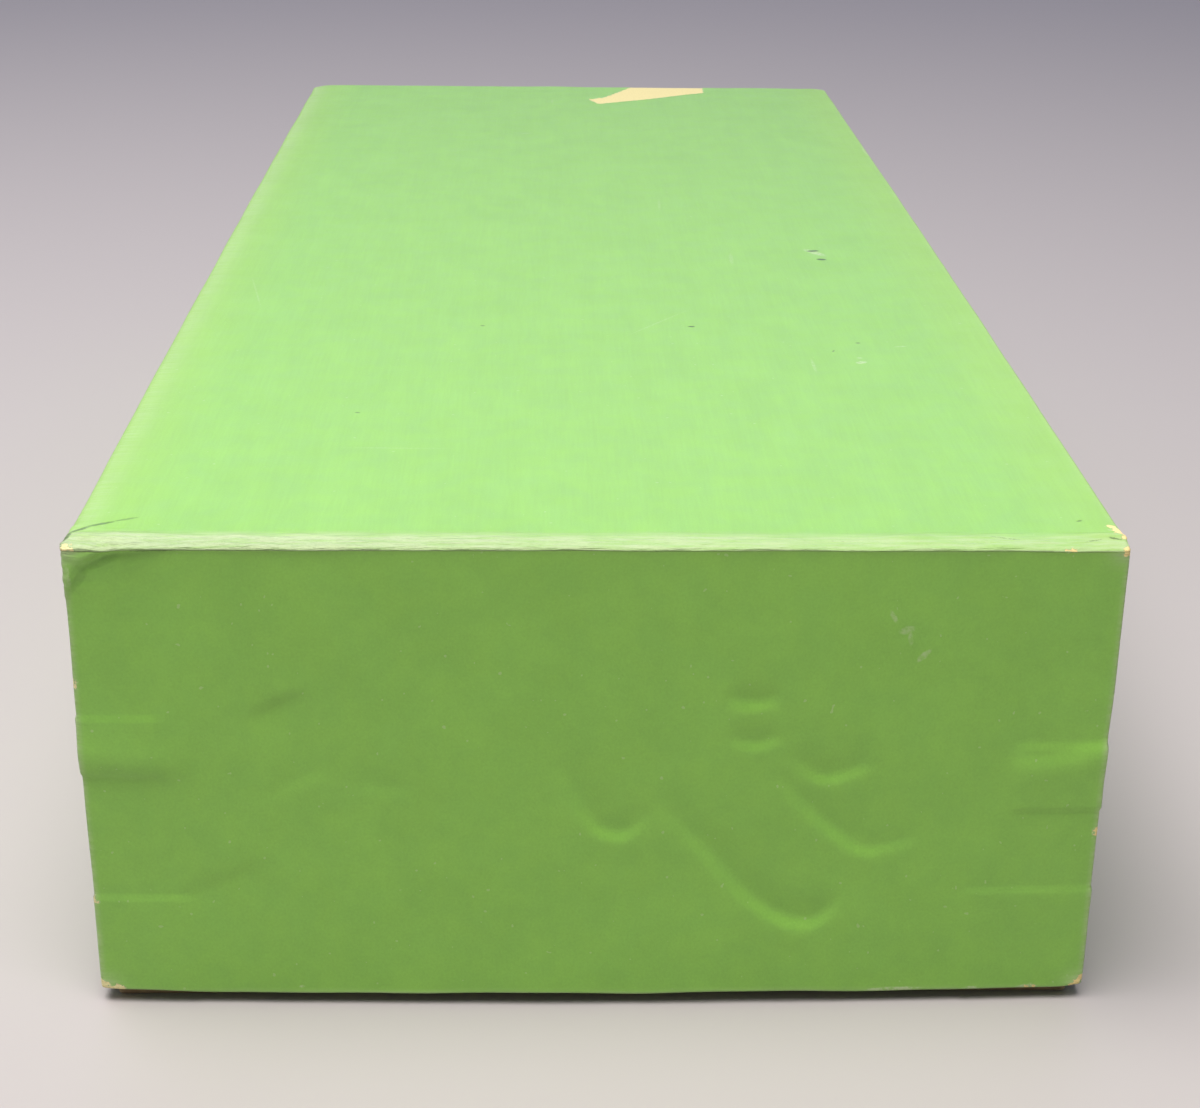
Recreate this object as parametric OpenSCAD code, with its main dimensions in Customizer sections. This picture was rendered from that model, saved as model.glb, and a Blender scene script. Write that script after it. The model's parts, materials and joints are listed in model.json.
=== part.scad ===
// Archival box: a paper-covered rigid board box with a full-depth lift-off lid.
// Millimetres. X is the width, Y the length, Z up. The origin is the centre of the underside.
// The front end is at -Y and the left side at -X.
// Each half is five boards, held at the corners by paper tape, covered outside and lined inside.

/* [Lid] */
// Width of the lid over its covering paper
lid_w = 306; // [200:1:420]
// Length of the lid over its covering paper
lid_l = 745; // [400:1:900]
// Height of the lid, from its top to its lower edge
lid_h = 150; // [140:1:220]
// Radius of the lid's softened top edges
top_edge_r = 3.5; // [1.5:0.5:5]
// Radius of the upright corners
corner_r = 1; // [0.8:0.1:2]

/* [Board and paper] */
// Thickness of the chipboard
board_t = 2; // [1.5:0.1:3]
// Thickness of the covering and lining papers with their glue
paper_t = 0.3; // [0.2:0.05:0.5]
// Thickness of the corner tape
tape_t = 0.15; // [0.1:0.01:0.18]
// How far the covering paper turns in over a rim
turn_in = 20; // [10:1:30]
// How far the tray's covering paper turns under its floor
turn_under = 15; // [10:1:30]

/* [Fit] */
// Air gap between the tray and the lid on each side
side_gap = 1.2; // [0.8:0.1:2]
// Height of the lid's lower edge above the surface the tray stands on
hem_gap = 4; // [2:0.5:8]

/* [Corner tape] */
// Distance of the upper tapes below the top, left and right
upper_drop = [56, 65]; // [40:1:66]
// Height of the upper tapes, left and right
upper_height = [18, 21]; // [12:1:22]
// Reach of the upper tapes from the corner on both walls, left and right
upper_reach = [21, 26]; // [15:1:35]
// Distance of the lower tapes below the top, left and right
lower_drop = [117, 115]; // [90:1:130]
// Reach of the lower tapes from the corner on both walls, left and right
lower_reach = [29, 38]; // [15:1:40]

/* [Hidden] */
$fn = 96;
// Overshoot that makes cuts run clear of a face
eps = 1;
// Clearance around the sheet let in between the turned-under edges
sheet_gap = 0.2;

// The lid, from the outside in
lid_x = lid_w / 2;
lid_y = lid_l / 2;
hem_z = hem_gap;
total_h = hem_gap + lid_h;
wall_build = paper_t + board_t;
lid_ceiling_z = total_h - wall_build;
lid_clear_x = lid_x - wall_build - paper_t;
lid_clear_y = lid_y - wall_build - paper_t;

// The tray, sized to slide inside the lid and to carry its ceiling on the rim
tray_x = lid_clear_x - side_gap;
tray_y = lid_clear_y - side_gap;
rim_z = lid_ceiling_z - paper_t;
floor_z = wall_build;

chipboard = [0.86, 0.76, 0.52];
kraft = [0.71, 0.56, 0.38];
green_paper = [0.50, 0.75, 0.34];
brown_paper = [0.50, 0.43, 0.33];
lining_paper = [0.93, 0.91, 0.84];
bottom_paper = [0.80, 0.76, 0.66];

// Ends and sides, as the sign of their axis
FRONT = -1;
BACK = 1;
LEFT = -1;
RIGHT = 1;

// The eight tapes of either half, each as [side, end, true for an upper one]
TAPES = [
    for (end = [FRONT, BACK], side = [LEFT, RIGHT], upper = [true, false]) [side, end, upper]
];
function tape_name(half, tape) = str(
    half,
    tape[1] == FRONT ? "_front" : "_back",
    tape[0] == LEFT ? "_left" : "_right",
    tape[2] ? "_upper_tape" : "_lower_tape"
);

// ---- Shapes that repeat ----

// Rectangle of half sizes x and y with corners of radius r
module rounded_rect(x, y, r) {
    square([2 * (x - r), 2 * y], center = true);
    square([2 * x, 2 * (y - r)], center = true);
    for (i = [-1, 1], j = [-1, 1])
        translate([i * (x - r), j * (y - r)]) circle(r = r);
}

// Rectangle of half width x from z0 to z1, with both upper corners of radius r
module round_topped(x, z0, z1, r) {
    translate([-x, z0]) square([2 * x, z1 - z0 - r]);
    translate([r - x, z0]) square([2 * (x - r), z1 - z0]);
    for (i = [-1, 1])
        translate([i * (x - r), z1 - r]) circle(r = r);
}

// Upright block of half sizes x and y from z0 to z1, with rounded upright corners
module post(x, y, r, z0, z1) {
    translate([0, 0, z0]) linear_extrude(z1 - z0) rounded_rect(x, y, r);
}

// Plain block of half sizes x and y from z0 to z1
module block(x, y, z0, z1) {
    translate([-x, -y, z0]) cube([2 * x, 2 * y, z1 - z0]);
}

// A long wall of the given thickness, inside half sizes x and y
module side_slab(side, x, y, thick, z0, z1) {
    translate([side * (x - thick / 2), 0, (z0 + z1) / 2])
        cube([thick, 2 * y, z1 - z0], center = true);
}

// An end wall of the given thickness, standing between the two long walls
module end_slab(end, x, y, thick, z0, z1) {
    translate([0, end * (y - thick / 2), (z0 + z1) / 2])
        cube([2 * (x - thick), thick, z1 - z0], center = true);
}

// One tape, bent round an upright corner of boards of half sizes x and y. A lower tape runs
// down to low_z, and an upper one stops short of it.
module corner_tape(tape, x, y, low_z) {
    side = tape[0];
    end = tape[1];
    upper = tape[2];
    hand = side == LEFT ? 0 : 1;
    reach = upper ? upper_reach[hand] : lower_reach[hand];
    z1 = total_h - (upper ? upper_drop[hand] : lower_drop[hand]);
    z0 = upper ? z1 - upper_height[hand] : low_z;
    board_r = corner_r - paper_t;
    difference() {
        intersection() {
            post(x + tape_t, y + tape_t, board_r + tape_t, z0, z1);
            translate([side * x, end * y, z0])
                cube([2 * reach, 2 * reach, 2 * (z1 - z0)], center = true);
        }
        post(x, y, board_r, z0 - eps, z1 + eps);
    }
}

// ---- The lid ----

// The lid's outer form, taken in all round by inset
module lid_form(inset) {
    x = lid_x - inset;
    y = lid_y - inset;
    r = top_edge_r - inset;
    z1 = total_h - inset;
    intersection() {
        post(x, y, corner_r - inset, hem_z + inset, z1);
        rotate([90, 0, 0]) linear_extrude(2 * lid_l, center = true)
            round_topped(x, hem_z, z1, r);
        rotate([90, 0, 90]) linear_extrude(2 * lid_w, center = true)
            round_topped(y, hem_z, z1, r);
    }
}

// The space between the lid's boards, taken in by inset, from z0 to z1
module lid_space(inset, z0, z1) {
    block(lid_x - wall_build - inset, lid_y - wall_build - inset, z0, z1);
}

module lid_top_board() {
    color(chipboard) intersection() {
        lid_form(paper_t);
        block(lid_x, lid_y, lid_ceiling_z, total_h);
    }
}

module lid_side_board(side) {
    color(chipboard) intersection() {
        lid_form(paper_t);
        side_slab(side, lid_x - paper_t, lid_y, board_t, hem_z, lid_ceiling_z);
    }
}

module lid_end_board(end) {
    color(chipboard) intersection() {
        lid_form(paper_t);
        end_slab(end, lid_x - paper_t, lid_y - paper_t, board_t, hem_z, lid_ceiling_z);
    }
}

module lid_tape(tape) {
    color(kraft) corner_tape(tape, lid_x - paper_t, lid_y - paper_t, hem_z + paper_t);
}

// One sheet: the top, four sides, and the edge turned in round the hem
module lid_cover_paper() {
    color(green_paper) difference() {
        lid_form(0);
        difference() {
            lid_form(paper_t);
            lid_space(0, 0, lid_ceiling_z);
        }
        lid_space(0, hem_z + turn_in, lid_ceiling_z);
        lid_space(paper_t, 0, lid_ceiling_z);
        for (tape = TAPES)
            lid_tape(tape);
    }
}

module lid_wall_lining() {
    color(lining_paper) difference() {
        lid_space(0, hem_z + turn_in, lid_ceiling_z);
        lid_space(paper_t, 0, total_h);
    }
}

module lid_top_lining() {
    color(lining_paper) lid_space(paper_t, rim_z, lid_ceiling_z);
}

// ---- The tray ----

// The space between the tray's boards, taken in by inset, from z0 to z1
module tray_space(inset, z0, z1) {
    block(tray_x - wall_build - inset, tray_y - wall_build - inset, z0, z1);
}

// The tray's outer form, taken in all round by inset
module tray_form(inset) {
    post(tray_x - inset, tray_y - inset, corner_r - inset, inset, rim_z - inset);
}

module tray_floor_board() {
    color(chipboard) intersection() {
        tray_form(paper_t);
        block(tray_x, tray_y, 0, floor_z);
    }
}

module tray_side_board(side) {
    color(chipboard) intersection() {
        tray_form(paper_t);
        side_slab(side, tray_x - paper_t, tray_y, board_t, floor_z, rim_z);
    }
}

module tray_end_board(end) {
    color(chipboard) intersection() {
        tray_form(paper_t);
        end_slab(end, tray_x - paper_t, tray_y - paper_t, board_t, floor_z, rim_z);
    }
}

// The tray's tapes sit at the lid's heights, and the lower ones hold the floor board too
module tray_tape(tape) {
    color(kraft) corner_tape(tape, tray_x - paper_t, tray_y - paper_t, paper_t);
}

// A band round the four walls, turned in over the rim and turned under the floor
module tray_cover_paper() {
    color(brown_paper) difference() {
        tray_form(0);
        difference() {
            tray_form(paper_t);
            tray_space(0, floor_z, rim_z);
        }
        tray_space(0, floor_z, rim_z - turn_in);
        tray_space(paper_t, floor_z, rim_z + eps);
        block(tray_x - turn_under, tray_y - turn_under, -eps, paper_t);
        for (tape = TAPES)
            tray_tape(tape);
    }
}

module tray_bottom_sheet() {
    color(bottom_paper)
        block(tray_x - turn_under - sheet_gap, tray_y - turn_under - sheet_gap, 0, paper_t);
}

module tray_wall_lining() {
    color(lining_paper) difference() {
        tray_space(0, floor_z, rim_z - turn_in);
        tray_space(paper_t, 0, total_h);
    }
}

module tray_floor_lining() {
    color(lining_paper) tray_space(paper_t, floor_z, floor_z + paper_t);
}

// ---- Nodes ----

tray_floor_board();
tray_end_board(FRONT);  // tray_front_board
tray_end_board(BACK);  // tray_back_board
tray_side_board(LEFT);  // tray_left_board
tray_side_board(RIGHT);  // tray_right_board
for (tape = TAPES)
    tray_tape(tape);
tray_cover_paper();
tray_bottom_sheet();
tray_wall_lining();
tray_floor_lining();
lid_top_board();
lid_end_board(FRONT);  // lid_front_board
lid_end_board(BACK);  // lid_back_board
lid_side_board(LEFT);  // lid_left_board
lid_side_board(RIGHT);  // lid_right_board
for (tape = TAPES)
    lid_tape(tape);
lid_cover_paper();
lid_wall_lining();
lid_top_lining();
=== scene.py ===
"""The looks of a worn archival box: green covering paper on chipboard, a tray and a lift-off lid.

Shapes are worked out in millimetres in the row's frame, and become metres as each mesh is made.
"below" is a depth under the lid's top, and "into" is a distance back from the lid's front end.
"""
import json
import math
from bisect import bisect_left

import bmesh
import bpy
import numpy as np
from mathutils import Matrix, Vector


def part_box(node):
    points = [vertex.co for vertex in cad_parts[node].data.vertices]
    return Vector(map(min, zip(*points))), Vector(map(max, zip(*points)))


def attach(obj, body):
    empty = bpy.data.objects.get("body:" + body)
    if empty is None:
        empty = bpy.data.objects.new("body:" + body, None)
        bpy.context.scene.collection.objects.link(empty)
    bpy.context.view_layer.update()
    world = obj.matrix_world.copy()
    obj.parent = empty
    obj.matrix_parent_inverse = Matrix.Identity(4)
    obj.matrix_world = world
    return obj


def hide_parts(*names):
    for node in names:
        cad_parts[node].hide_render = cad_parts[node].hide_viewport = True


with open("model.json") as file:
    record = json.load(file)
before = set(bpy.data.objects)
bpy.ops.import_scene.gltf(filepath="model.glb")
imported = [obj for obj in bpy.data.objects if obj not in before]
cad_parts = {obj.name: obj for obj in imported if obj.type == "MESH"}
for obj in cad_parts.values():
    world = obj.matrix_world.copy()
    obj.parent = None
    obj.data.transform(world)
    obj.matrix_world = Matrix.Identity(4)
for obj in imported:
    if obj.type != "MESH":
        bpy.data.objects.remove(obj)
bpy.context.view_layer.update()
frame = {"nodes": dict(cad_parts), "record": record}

# ---- Measures from the CAD frame, in millimetres ----
MM = 0.001


def corners(node):
    """A CAD node's lowest and highest corners, in millimetres."""
    low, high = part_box(node)
    return np.array(low) / MM, np.array(high) / MM


LID_X, LID_Y, TOP = corners("lid_cover_paper")[1]
HEM = corners("lid_cover_paper")[0][2]
LID_H = TOP - HEM
CEILING = corners("lid_top_board")[0][2]
LID_TURN_IN = corners("lid_wall_lining")[0][2]
TRAY_X, TRAY_Y, RIM = corners("tray_cover_paper")[1]
TRAY_TURN_IN = corners("tray_wall_lining")[1][2]
SHEET_GAP = 0.2        # between the bottom sheet and the turned-under edges round it
TRAY_TURN_UNDER = TRAY_X - corners("tray_bottom_sheet")[1][0] - SHEET_GAP
PAPER = corners("tray_bottom_sheet")[1][2]
BOARD = corners("tray_floor_board")[1][2] - corners("tray_floor_board")[0][2]
WALL = 2 * PAPER + BOARD
FOLD = 0.8             # how far the rounding of a turned edge reaches up its side
LID_NODES = frame["record"]["behaviour"]["bodies"]["lid"]
TRAY_NODES = frame["record"]["behaviour"]["bodies"]["tray"]
SLOTS = {part["node"]: part["material_slot"] for part in frame["record"]["subparts"]}

# ---- The box's wear: how far each worn stretch is out of shape ----
HEM_BOW = 3.0          # the front end's lower edge stands out in the middle
HEM_WAVE = 0.2         # the lower edge is a little uneven
TOP_SAG = 0.8          # the lid's top sinks in the middle
SIDE_BOW = 1.0         # both long sides stand out along their middle
LEFT_SWELL = 1.4       # and all along their upper parts
RIGHT_SWELL = 0.7
FRONT_CRUSH = 1.5      # the front top edge is pressed down
CRUSH_WIDTH = 8.5
LIP = 0.3              # and rolls out over the front
LEFT_LIP = 0.4         # which it does by this much more near its left end
LEFT_SOFT = 0.6        # the left top edge is rubbed down
LEFT_SOFT_WIDTH = 9.0
EDGE_RADIUS = 1.1      # the upright edges
FRONT_RADIUS = 1.2     # the top edges
BACK_RADIUS = 1.5
LEFT_RADIUS = 2.4
RIGHT_RADIUS = 1.8

# How far the paper alone stands out from its board
LID_TAPE_RELIEF = 0.42
TRAY_TAPE_RELIEF = 0.25
TAPE_EDGE = 0.8        # how wide the slope at a tape's edge is
CREASE_RELIEF = 0.36   # along the pressed front edge
FOLD_RELIEF = 0.35     # at the crumpled front left corner
TORN_DEPTH = 0.8 * PAPER

# How far apart the boards, tapes and linings are cut to take this shape, by the dents and elsewhere
CLOSE = 2.4
WIDE = 12.0

# Dents in the front end. Each has the line of its sharp rim, as points (x, below), with the
# hollow on its left as the line runs, then the hollow's depth, the width of its rim's slope,
# and how far it takes to fade out. A negative depth is a ridge.
DENTS = [
    ([(-14, 70), (-5, 88), (1, 94.5), (9, 95.5), (18, 88)], 1.1, 3.8, 7),
    ([(14, 82), (31.5, 101), (44, 116), (55, 124.5), (65, 127), (72, 123), (76, 116)], 1.4, 4.2, 8),
    ([(37, 50.5), (46, 52.7), (55, 50.5)], 0.95, 3.8, 4),
    ([(38, 63.5), (47, 65.7), (56, 63)], 0.75, 3.2, 4),
    ([(56, 69), (68, 77), (84, 72)], 0.95, 3.6, 5),
    ([(52, 75), (63, 87.5), (72.5, 96), (82, 101.5), (99, 97)], 1.1, 3.8, 7),
    ([(-87, 45.5), (-96, 49.5), (-106, 56)], 0.85, 4.0, 10),
    ([(-99, 86), (-90, 78.5), (-80, 74)], 0.35, 3.5, 5),
    ([(-75, 78), (-66, 80.5), (-54, 81)], 0.25, 3.5, 5),
    ([(-100, 101), (-115, 108.5), (-130, 114)], 0.5, 6.0, 14),
    ([(-176, 76), (-147, 75), (-137, 75.5), (-121, 77)], -1.4, 8.0, 10),
    ([(176, 58.5), (149, 64.5), (136, 68), (122, 68)], -1.1, 6.5, 12),
    ([(-158, 30), (-152, 16), (-148.5, 7.5), (-143, 3.4), (-136, 1.5), (-112, 0.5)], -1.5, 1.8, 5),
]

# Worn corners of the lid: the corner's signs, how far it is pushed, and over what distance
WORN_CORNERS = [
    ((1, -1, 1), (0.0, 0.2, -0.2), 4.0),
    ((-1, -1, -1), (0.0, 0.3, 0.2), 4.0),
    ((1, -1, -1), (-0.2, 0.4, 0.6), 4.0),
    ((-1, 1, 1), (0.6, -0.6, -0.6), 4.5),
    ((1, 1, 1), (-0.6, -0.6, -0.6), 4.5),
    ((-1, 1, -1), (0.7, -0.8, 1.0), 4.5),
    ((1, 1, -1), (-0.7, -0.7, 1.1), 4.5),
]

# Places where the paper is gone and board shows. The chips are capsules from one point to
# another, with a radius. The tear is an outline (x, into) on the top, at the back edge.
CHIPS = [
    ((-LID_X, -LID_Y, TOP), (-LID_X + 2, -LID_Y, TOP), 1.3),
    ((LID_X, -LID_Y, TOP), (LID_X, -LID_Y, TOP - 1.5), 1.9),
    ((LID_X, -LID_Y + 7, TOP), (LID_X - 2.5, -LID_Y + 14, TOP), 1.3),
    ((LID_X - 16, -LID_Y, TOP - 0.5), (LID_X - 17.5, -LID_Y, TOP - 0.5), 0.9),
    ((-LID_X, -LID_Y, HEM + 2), (-LID_X, -LID_Y, HEM), 1.8),
    ((-LID_X + 1, -LID_Y, HEM), (-LID_X + 5, -LID_Y, HEM + 0.3), 2.0),
    ((LID_X, -LID_Y, HEM + 3.5), (LID_X - 3, -LID_Y, HEM), 1.1),
    ((LID_X - 19, -LID_Y, HEM + 0.9), (LID_X - 15, -LID_Y, HEM + 0.9), 0.3),
    ((-LID_X, -LID_Y, TOP - 44), (-LID_X, -LID_Y, TOP - 45), 0.8),
    ((-LID_X, -LID_Y, TOP - 116), (-LID_X, -LID_Y, TOP - 118), 0.8),
    ((LID_X, -LID_Y, TOP - 94), (LID_X, -LID_Y, TOP - 95), 1.2),
    ((-LID_X, LID_Y, TOP), (-LID_X, LID_Y, TOP), 2.2),
    ((LID_X, LID_Y, TOP), (LID_X, LID_Y, TOP), 2.0),
    ((-LID_X, LID_Y, HEM), (-LID_X, LID_Y - 2, HEM), 2.6),
    ((LID_X, LID_Y, HEM), (LID_X, LID_Y, HEM), 2.4),
    ((-LID_X, 60, TOP - 1), (-LID_X, 66, TOP - 1), 1.0),
    ((LID_X, -140, HEM), (LID_X, -132, HEM), 1.2),
]
TEAR = [(10, 704), (15.5, 690), (45, 706), (70, 722), (79, 727), (80, 747), (38, 747), (20, 711)]
FAR_OUTSIDE = -9.0     # stands for any place well away from a chip


# ---- Small tools for arrays of points ----
def smooth(low, high, value):
    """0 below low, 1 above high, and an even curve between."""
    t = np.clip((value - low) / (high - low), 0, 1)
    return t * t * (3 - 2 * t)


def ripple(points, length, seed, stretch=(1, 1, 1)):
    """Soft uneven waves from about -1 to 1, some `length` apart, drawn out by stretch."""
    rng = np.random.default_rng(seed)
    waves = 7
    total = np.zeros(len(points))
    for _ in range(waves):
        direction = rng.normal(size=3)
        direction /= np.linalg.norm(direction) * np.array(stretch)
        pitch = 2 * math.pi / (length * rng.uniform(0.6, 1.5))
        total += np.sin(points @ direction * pitch + rng.uniform(0, 2 * math.pi))
    return total / math.sqrt(waves)


def to_segment(points, start, end):
    """Each point's distance from a segment, in two or three dimensions."""
    start = np.array(start, float)
    along = np.array(end, float) - start
    share = np.clip((points - start) @ along / max(along @ along, 1e-9), 0, 1)
    return np.linalg.norm(points - start - share[:, None] * along, axis=1)


def curve_through(knots, steps=8):
    """Points along a smooth curve through the knots."""
    knots = np.array(knots, float)
    ends = np.vstack([2 * knots[0] - knots[1], knots, 2 * knots[-1] - knots[-2]])
    t = np.linspace(0, 1, steps, endpoint=False)[:, None]
    stretches = []
    for a, b, c, d in zip(ends, ends[1:], ends[2:], ends[3:]):
        stretches.append(
            b + (c - a) * t / 2 + (2 * a - 5 * b + 4 * c - d) * t**2 / 2
            + (3 * b - 3 * c + d - a) * t**3 / 2
        )
    return np.vstack([*stretches, knots[-1:]])


def from_curve(points, curve):
    """Each point's distance left of a curve (negative on its right), and its share along it."""
    best = np.full(len(points), 1e9)
    side = np.zeros(len(points))
    share = np.zeros(len(points))
    for i, (start, end) in enumerate(zip(curve, curve[1:])):
        along = end - start
        t = np.clip((points - start) @ along / (along @ along), 0, 1)
        away = points - start - t[:, None] * along
        distance = np.linalg.norm(away, axis=1)
        nearer = distance < best
        best[nearer] = distance[nearer]
        side[nearer] = np.sign(along[0] * away[nearer, 1] - along[1] * away[nearer, 0])
        share[nearer] = (i + t[nearer]) / (len(curve) - 1)
    return best * side, share


# ---- How the lid is out of shape, for its paper, boards and lining alike ----
def front_dents(x, below):
    """How far the dents push the front end in, where x and below say."""
    flat = np.column_stack([x, -below])
    total = np.zeros(len(x))
    for knots, depth, slope, fade in DENTS:
        curve = curve_through([(a, -b) for a, b in knots])
        reach = slope + 4 * fade
        low, high = curve.min(0) - reach, curve.max(0) + reach
        near = np.all((flat > low) & (flat < high), axis=1)
        away, share = from_curve(flat[near], curve)
        taper = np.sin(math.pi * share) ** 0.7
        hollow = smooth(-0.3 * slope, 0.7 * slope, away) * np.exp(-np.maximum(away - slope, 0) / fade)
        lip = 0.12 * np.exp(-((away + 0.6 * slope) / slope) ** 2)
        total[near] += depth * taper * (hollow - lip)
    return total


def front_bow(x, below):
    """How far the front end stands out: most at the middle of the lower edge."""
    return HEM_BOW * np.clip(1 - (x / LID_X) ** 2, 0, 1) * np.clip(below / LID_H, 0, 1) ** 1.3


def front_lip(x, below):
    """The pressed edge rolls out over the front, most of all towards its left end."""
    height = LIP + LEFT_LIP * np.exp(-(((x + 95) / 26) ** 2))
    return height * np.exp(-((below / 2.4) ** 2))


def side_bow(x, y, below):
    """How far the bowed long sides move along X: most on the left, and halfway along the box."""
    middle = SIDE_BOW * (1 - (y / LID_Y) ** 2)
    left = middle + LEFT_SWELL - smooth(60, 150, below)
    right = middle + RIGHT_SWELL * (1 - smooth(40, 75, below))
    return np.where(x < 0, -left, right) * smooth(LID_X - 14, LID_X - 2, np.abs(x))


def edge_crush(points):
    """How far the top is pressed down along its front edge and rubbed down along its left one."""
    x, y, _ = points.T
    along = np.column_stack([x, np.zeros_like(x), np.zeros_like(x)])
    width = CRUSH_WIDTH * (1 + 0.09 * ripple(along, 60, 21))
    share = np.clip(1 - (y + LID_Y) / width, 0, 1)
    front = FRONT_CRUSH * (1 + 0.15 * ripple(along, 35, 22)) * (share - 0.1 * np.sin(math.pi * share))
    left = LEFT_SOFT * np.clip(1 - (x + LID_X) / LEFT_SOFT_WIDTH, 0, 1) ** 1.4
    return np.maximum(front, left) + 0.3 * np.minimum(front, left)


def lid_shape(points):
    """Where the lid's wear leaves each point of its paper, boards or lining."""
    x, y, z = points.T
    below = TOP - z
    front = 1 - smooth(2 * WALL - 2, 2 * WALL + 3, y + LID_Y)
    upper = np.clip((z - CEILING) / (TOP - CEILING), 0, 1)
    moved = points.copy()
    moved[:, 0] += side_bow(x, y, below)
    moved[:, 1] -= front * (front_bow(x, below) + front_lip(x, below) - front_dents(x, below))
    moved[:, 2] -= upper * edge_crush(points)
    across = np.clip(1 - (x / TRAY_X) ** 2, 0, 1)
    moved[:, 2] -= TOP_SAG * across * np.clip(1 - (y / TRAY_Y) ** 2, 0, 1)
    moved[:, 2] += HEM_WAVE * ripple(points, 45, 23) * (1 - smooth(HEM + 3, HEM + 14, z))
    for signs, push, reach in WORN_CORNERS:
        place = np.array([signs[0] * LID_X, signs[1] * LID_Y, TOP if signs[2] > 0 else HEM])
        near = np.exp(-((np.linalg.norm(points - place, axis=1) / reach) ** 2))
        moved[:, 0] += near * push[0]
        moved[:, 1] += near * push[1]
        moved[:, 2] += near * push[2] * (upper if signs[2] > 0 else 1)
    return moved


# ---- Covering paper: grids of points over the box's outside ----
def lines(low, high, edges, widest):
    """Grid lines from low to high: close together by the box's edges, elsewhere widest(p) apart."""
    marks = [low]
    while marks[-1] < high:
        gap = min(abs(marks[-1] - edge) for edge in edges)
        marks.append(marks[-1] + min(0.4 + 0.28 * gap, widest(marks[-1])))
    marks = np.array(marks)
    return low + (marks - low) * (high - low) / (marks[-1] - low)


def even(low, high, spacing):
    """Evenly spaced grid lines from low to high."""
    return np.linspace(low, high, round(abs(high - low) / spacing) + 1)


def grid(us, vs, place):
    """Points place(u, v) for every pair of lines, as an array [u, v, xyz]."""
    u, v = np.meshgrid(us, vs, indexing="ij")
    return np.stack(np.broadcast_arrays(*place(u, v)), axis=-1)


def rings(front_xs, back_xs, ys, profile):
    """Rings round the box through a profile of (inset, height), as an array [ring, place, xyz]."""
    half = np.array([front_xs[-1], ys[-1]])
    outline = [(x, ys[0]) for x in front_xs[:-1]]
    outline += [(front_xs[-1], y) for y in ys[:-1]]
    outline += [(x, ys[-1]) for x in back_xs[:0:-1]]
    outline += [(front_xs[0], y) for y in ys[::-1]]
    outline = np.array(outline)
    bands = []
    for inset, height in profile:
        bands.append(np.column_stack([outline * (1 - inset / half), np.full(len(outline), height)]))
    return np.array(bands)


def faces_of(patch):
    """The faces of one grid of points, as rows of four indices."""
    index = np.arange(patch.shape[0] * patch.shape[1]).reshape(patch.shape[:2])
    return np.stack(
        [index[:-1, :-1], index[1:, :-1], index[1:, 1:], index[:-1, 1:]], axis=-1
    ).reshape(-1, 4)


def outline_of(face, keys, rows):
    """A face's corners and every point along its edges, where rows lists points along each axis."""
    outline = []
    for start, end in zip(face, face[1:] + face[:1]):
        axes = [axis for axis in range(3) if keys[start][axis] != keys[end][axis]]
        if not axes:
            continue
        outline.append(start)
        if len(axes) == 1:
            axis = axes[0]
            row = rows[axis, keys[start][axis - 2], keys[start][axis - 1]]
            first = bisect_left(row, (keys[start][axis], start))
            last = bisect_left(row, (keys[end][axis], end))
            step = 1 if first < last else -1
            outline += [row[i][1] for i in range(first + step, last, step)]
    return outline


def join(patches):
    """Joins grids of points into one skin. Gives its points and faces.

    Where a close grid meets a wide one, the wide one's faces take in the points on their edges.
    """
    points = np.vstack([patch.reshape(-1, 3) for patch in patches])
    starts = np.cumsum([0] + [patch.shape[0] * patch.shape[1] for patch in patches])
    faces = np.vstack([faces_of(patch) + start for patch, start in zip(patches, starts)])
    keys = np.round(points * 1000).astype(np.int64)  # places, in thousandths of a millimetre
    keys, kept, joined = np.unique(keys, axis=0, return_index=True, return_inverse=True)
    points, faces, keys = points[kept], joined.reshape(-1)[faces], keys.tolist()
    rows = {}
    for index, key in enumerate(keys):
        for axis in range(3):
            row = rows.setdefault((axis, key[axis - 2], key[axis - 1]), [])
            row.append((key[axis], index))
    for row in rows.values():
        row.sort()
    return points, [outline_of(face, keys, rows) for face in faces.tolist()]


def lid_radius(points):
    """The rounding of the lid's edges at each point: each top edge has worn differently."""
    x, y, z = points.T
    at_side = smooth(LID_X - 14, LID_X - 4, np.abs(x)) + 1e-6
    at_end = smooth(LID_Y - 14, LID_Y - 4, np.abs(y)) + 1e-6
    side = np.where(x < 0, LEFT_RADIUS, RIGHT_RADIUS)
    side = side + (EDGE_RADIUS - side) * smooth(LID_Y - 20, LID_Y - 4, np.abs(y))
    end = np.where(y < 0, FRONT_RADIUS, BACK_RADIUS)
    top = (side * at_side + end * at_end) / (at_side + at_end)
    return EDGE_RADIUS + (top - EDGE_RADIUS) * smooth(TOP - 12, TOP - 4, z)


def rounded(points, radius, half_x, half_y, high):
    """Rounds a box's edges. Gives the points and the way each one faces."""
    outer = np.array([half_x, half_y, high])
    size = np.abs(points)
    depth = np.min(outer - size, axis=1)
    core = outer - radius[:, None]
    over = np.maximum(size - core, 0)
    length = np.maximum(np.linalg.norm(over, axis=1), 1e-9)
    shrink = np.minimum(np.maximum(radius - depth, 0) / length, 1)
    facing = np.sign(points) * over / length[:, None]
    return np.sign(points) * (np.minimum(size, core) + over * shrink[:, None]), facing


def inside_box(points, low, high, soft):
    """1 inside a box and 0 outside it, with soft edges."""
    share = np.ones(len(points))
    for axis in range(3):
        value = points[:, axis]
        share *= smooth(low[axis] - soft, low[axis], value)
        share *= 1 - smooth(high[axis], high[axis] + soft, value)
    return share


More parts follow.
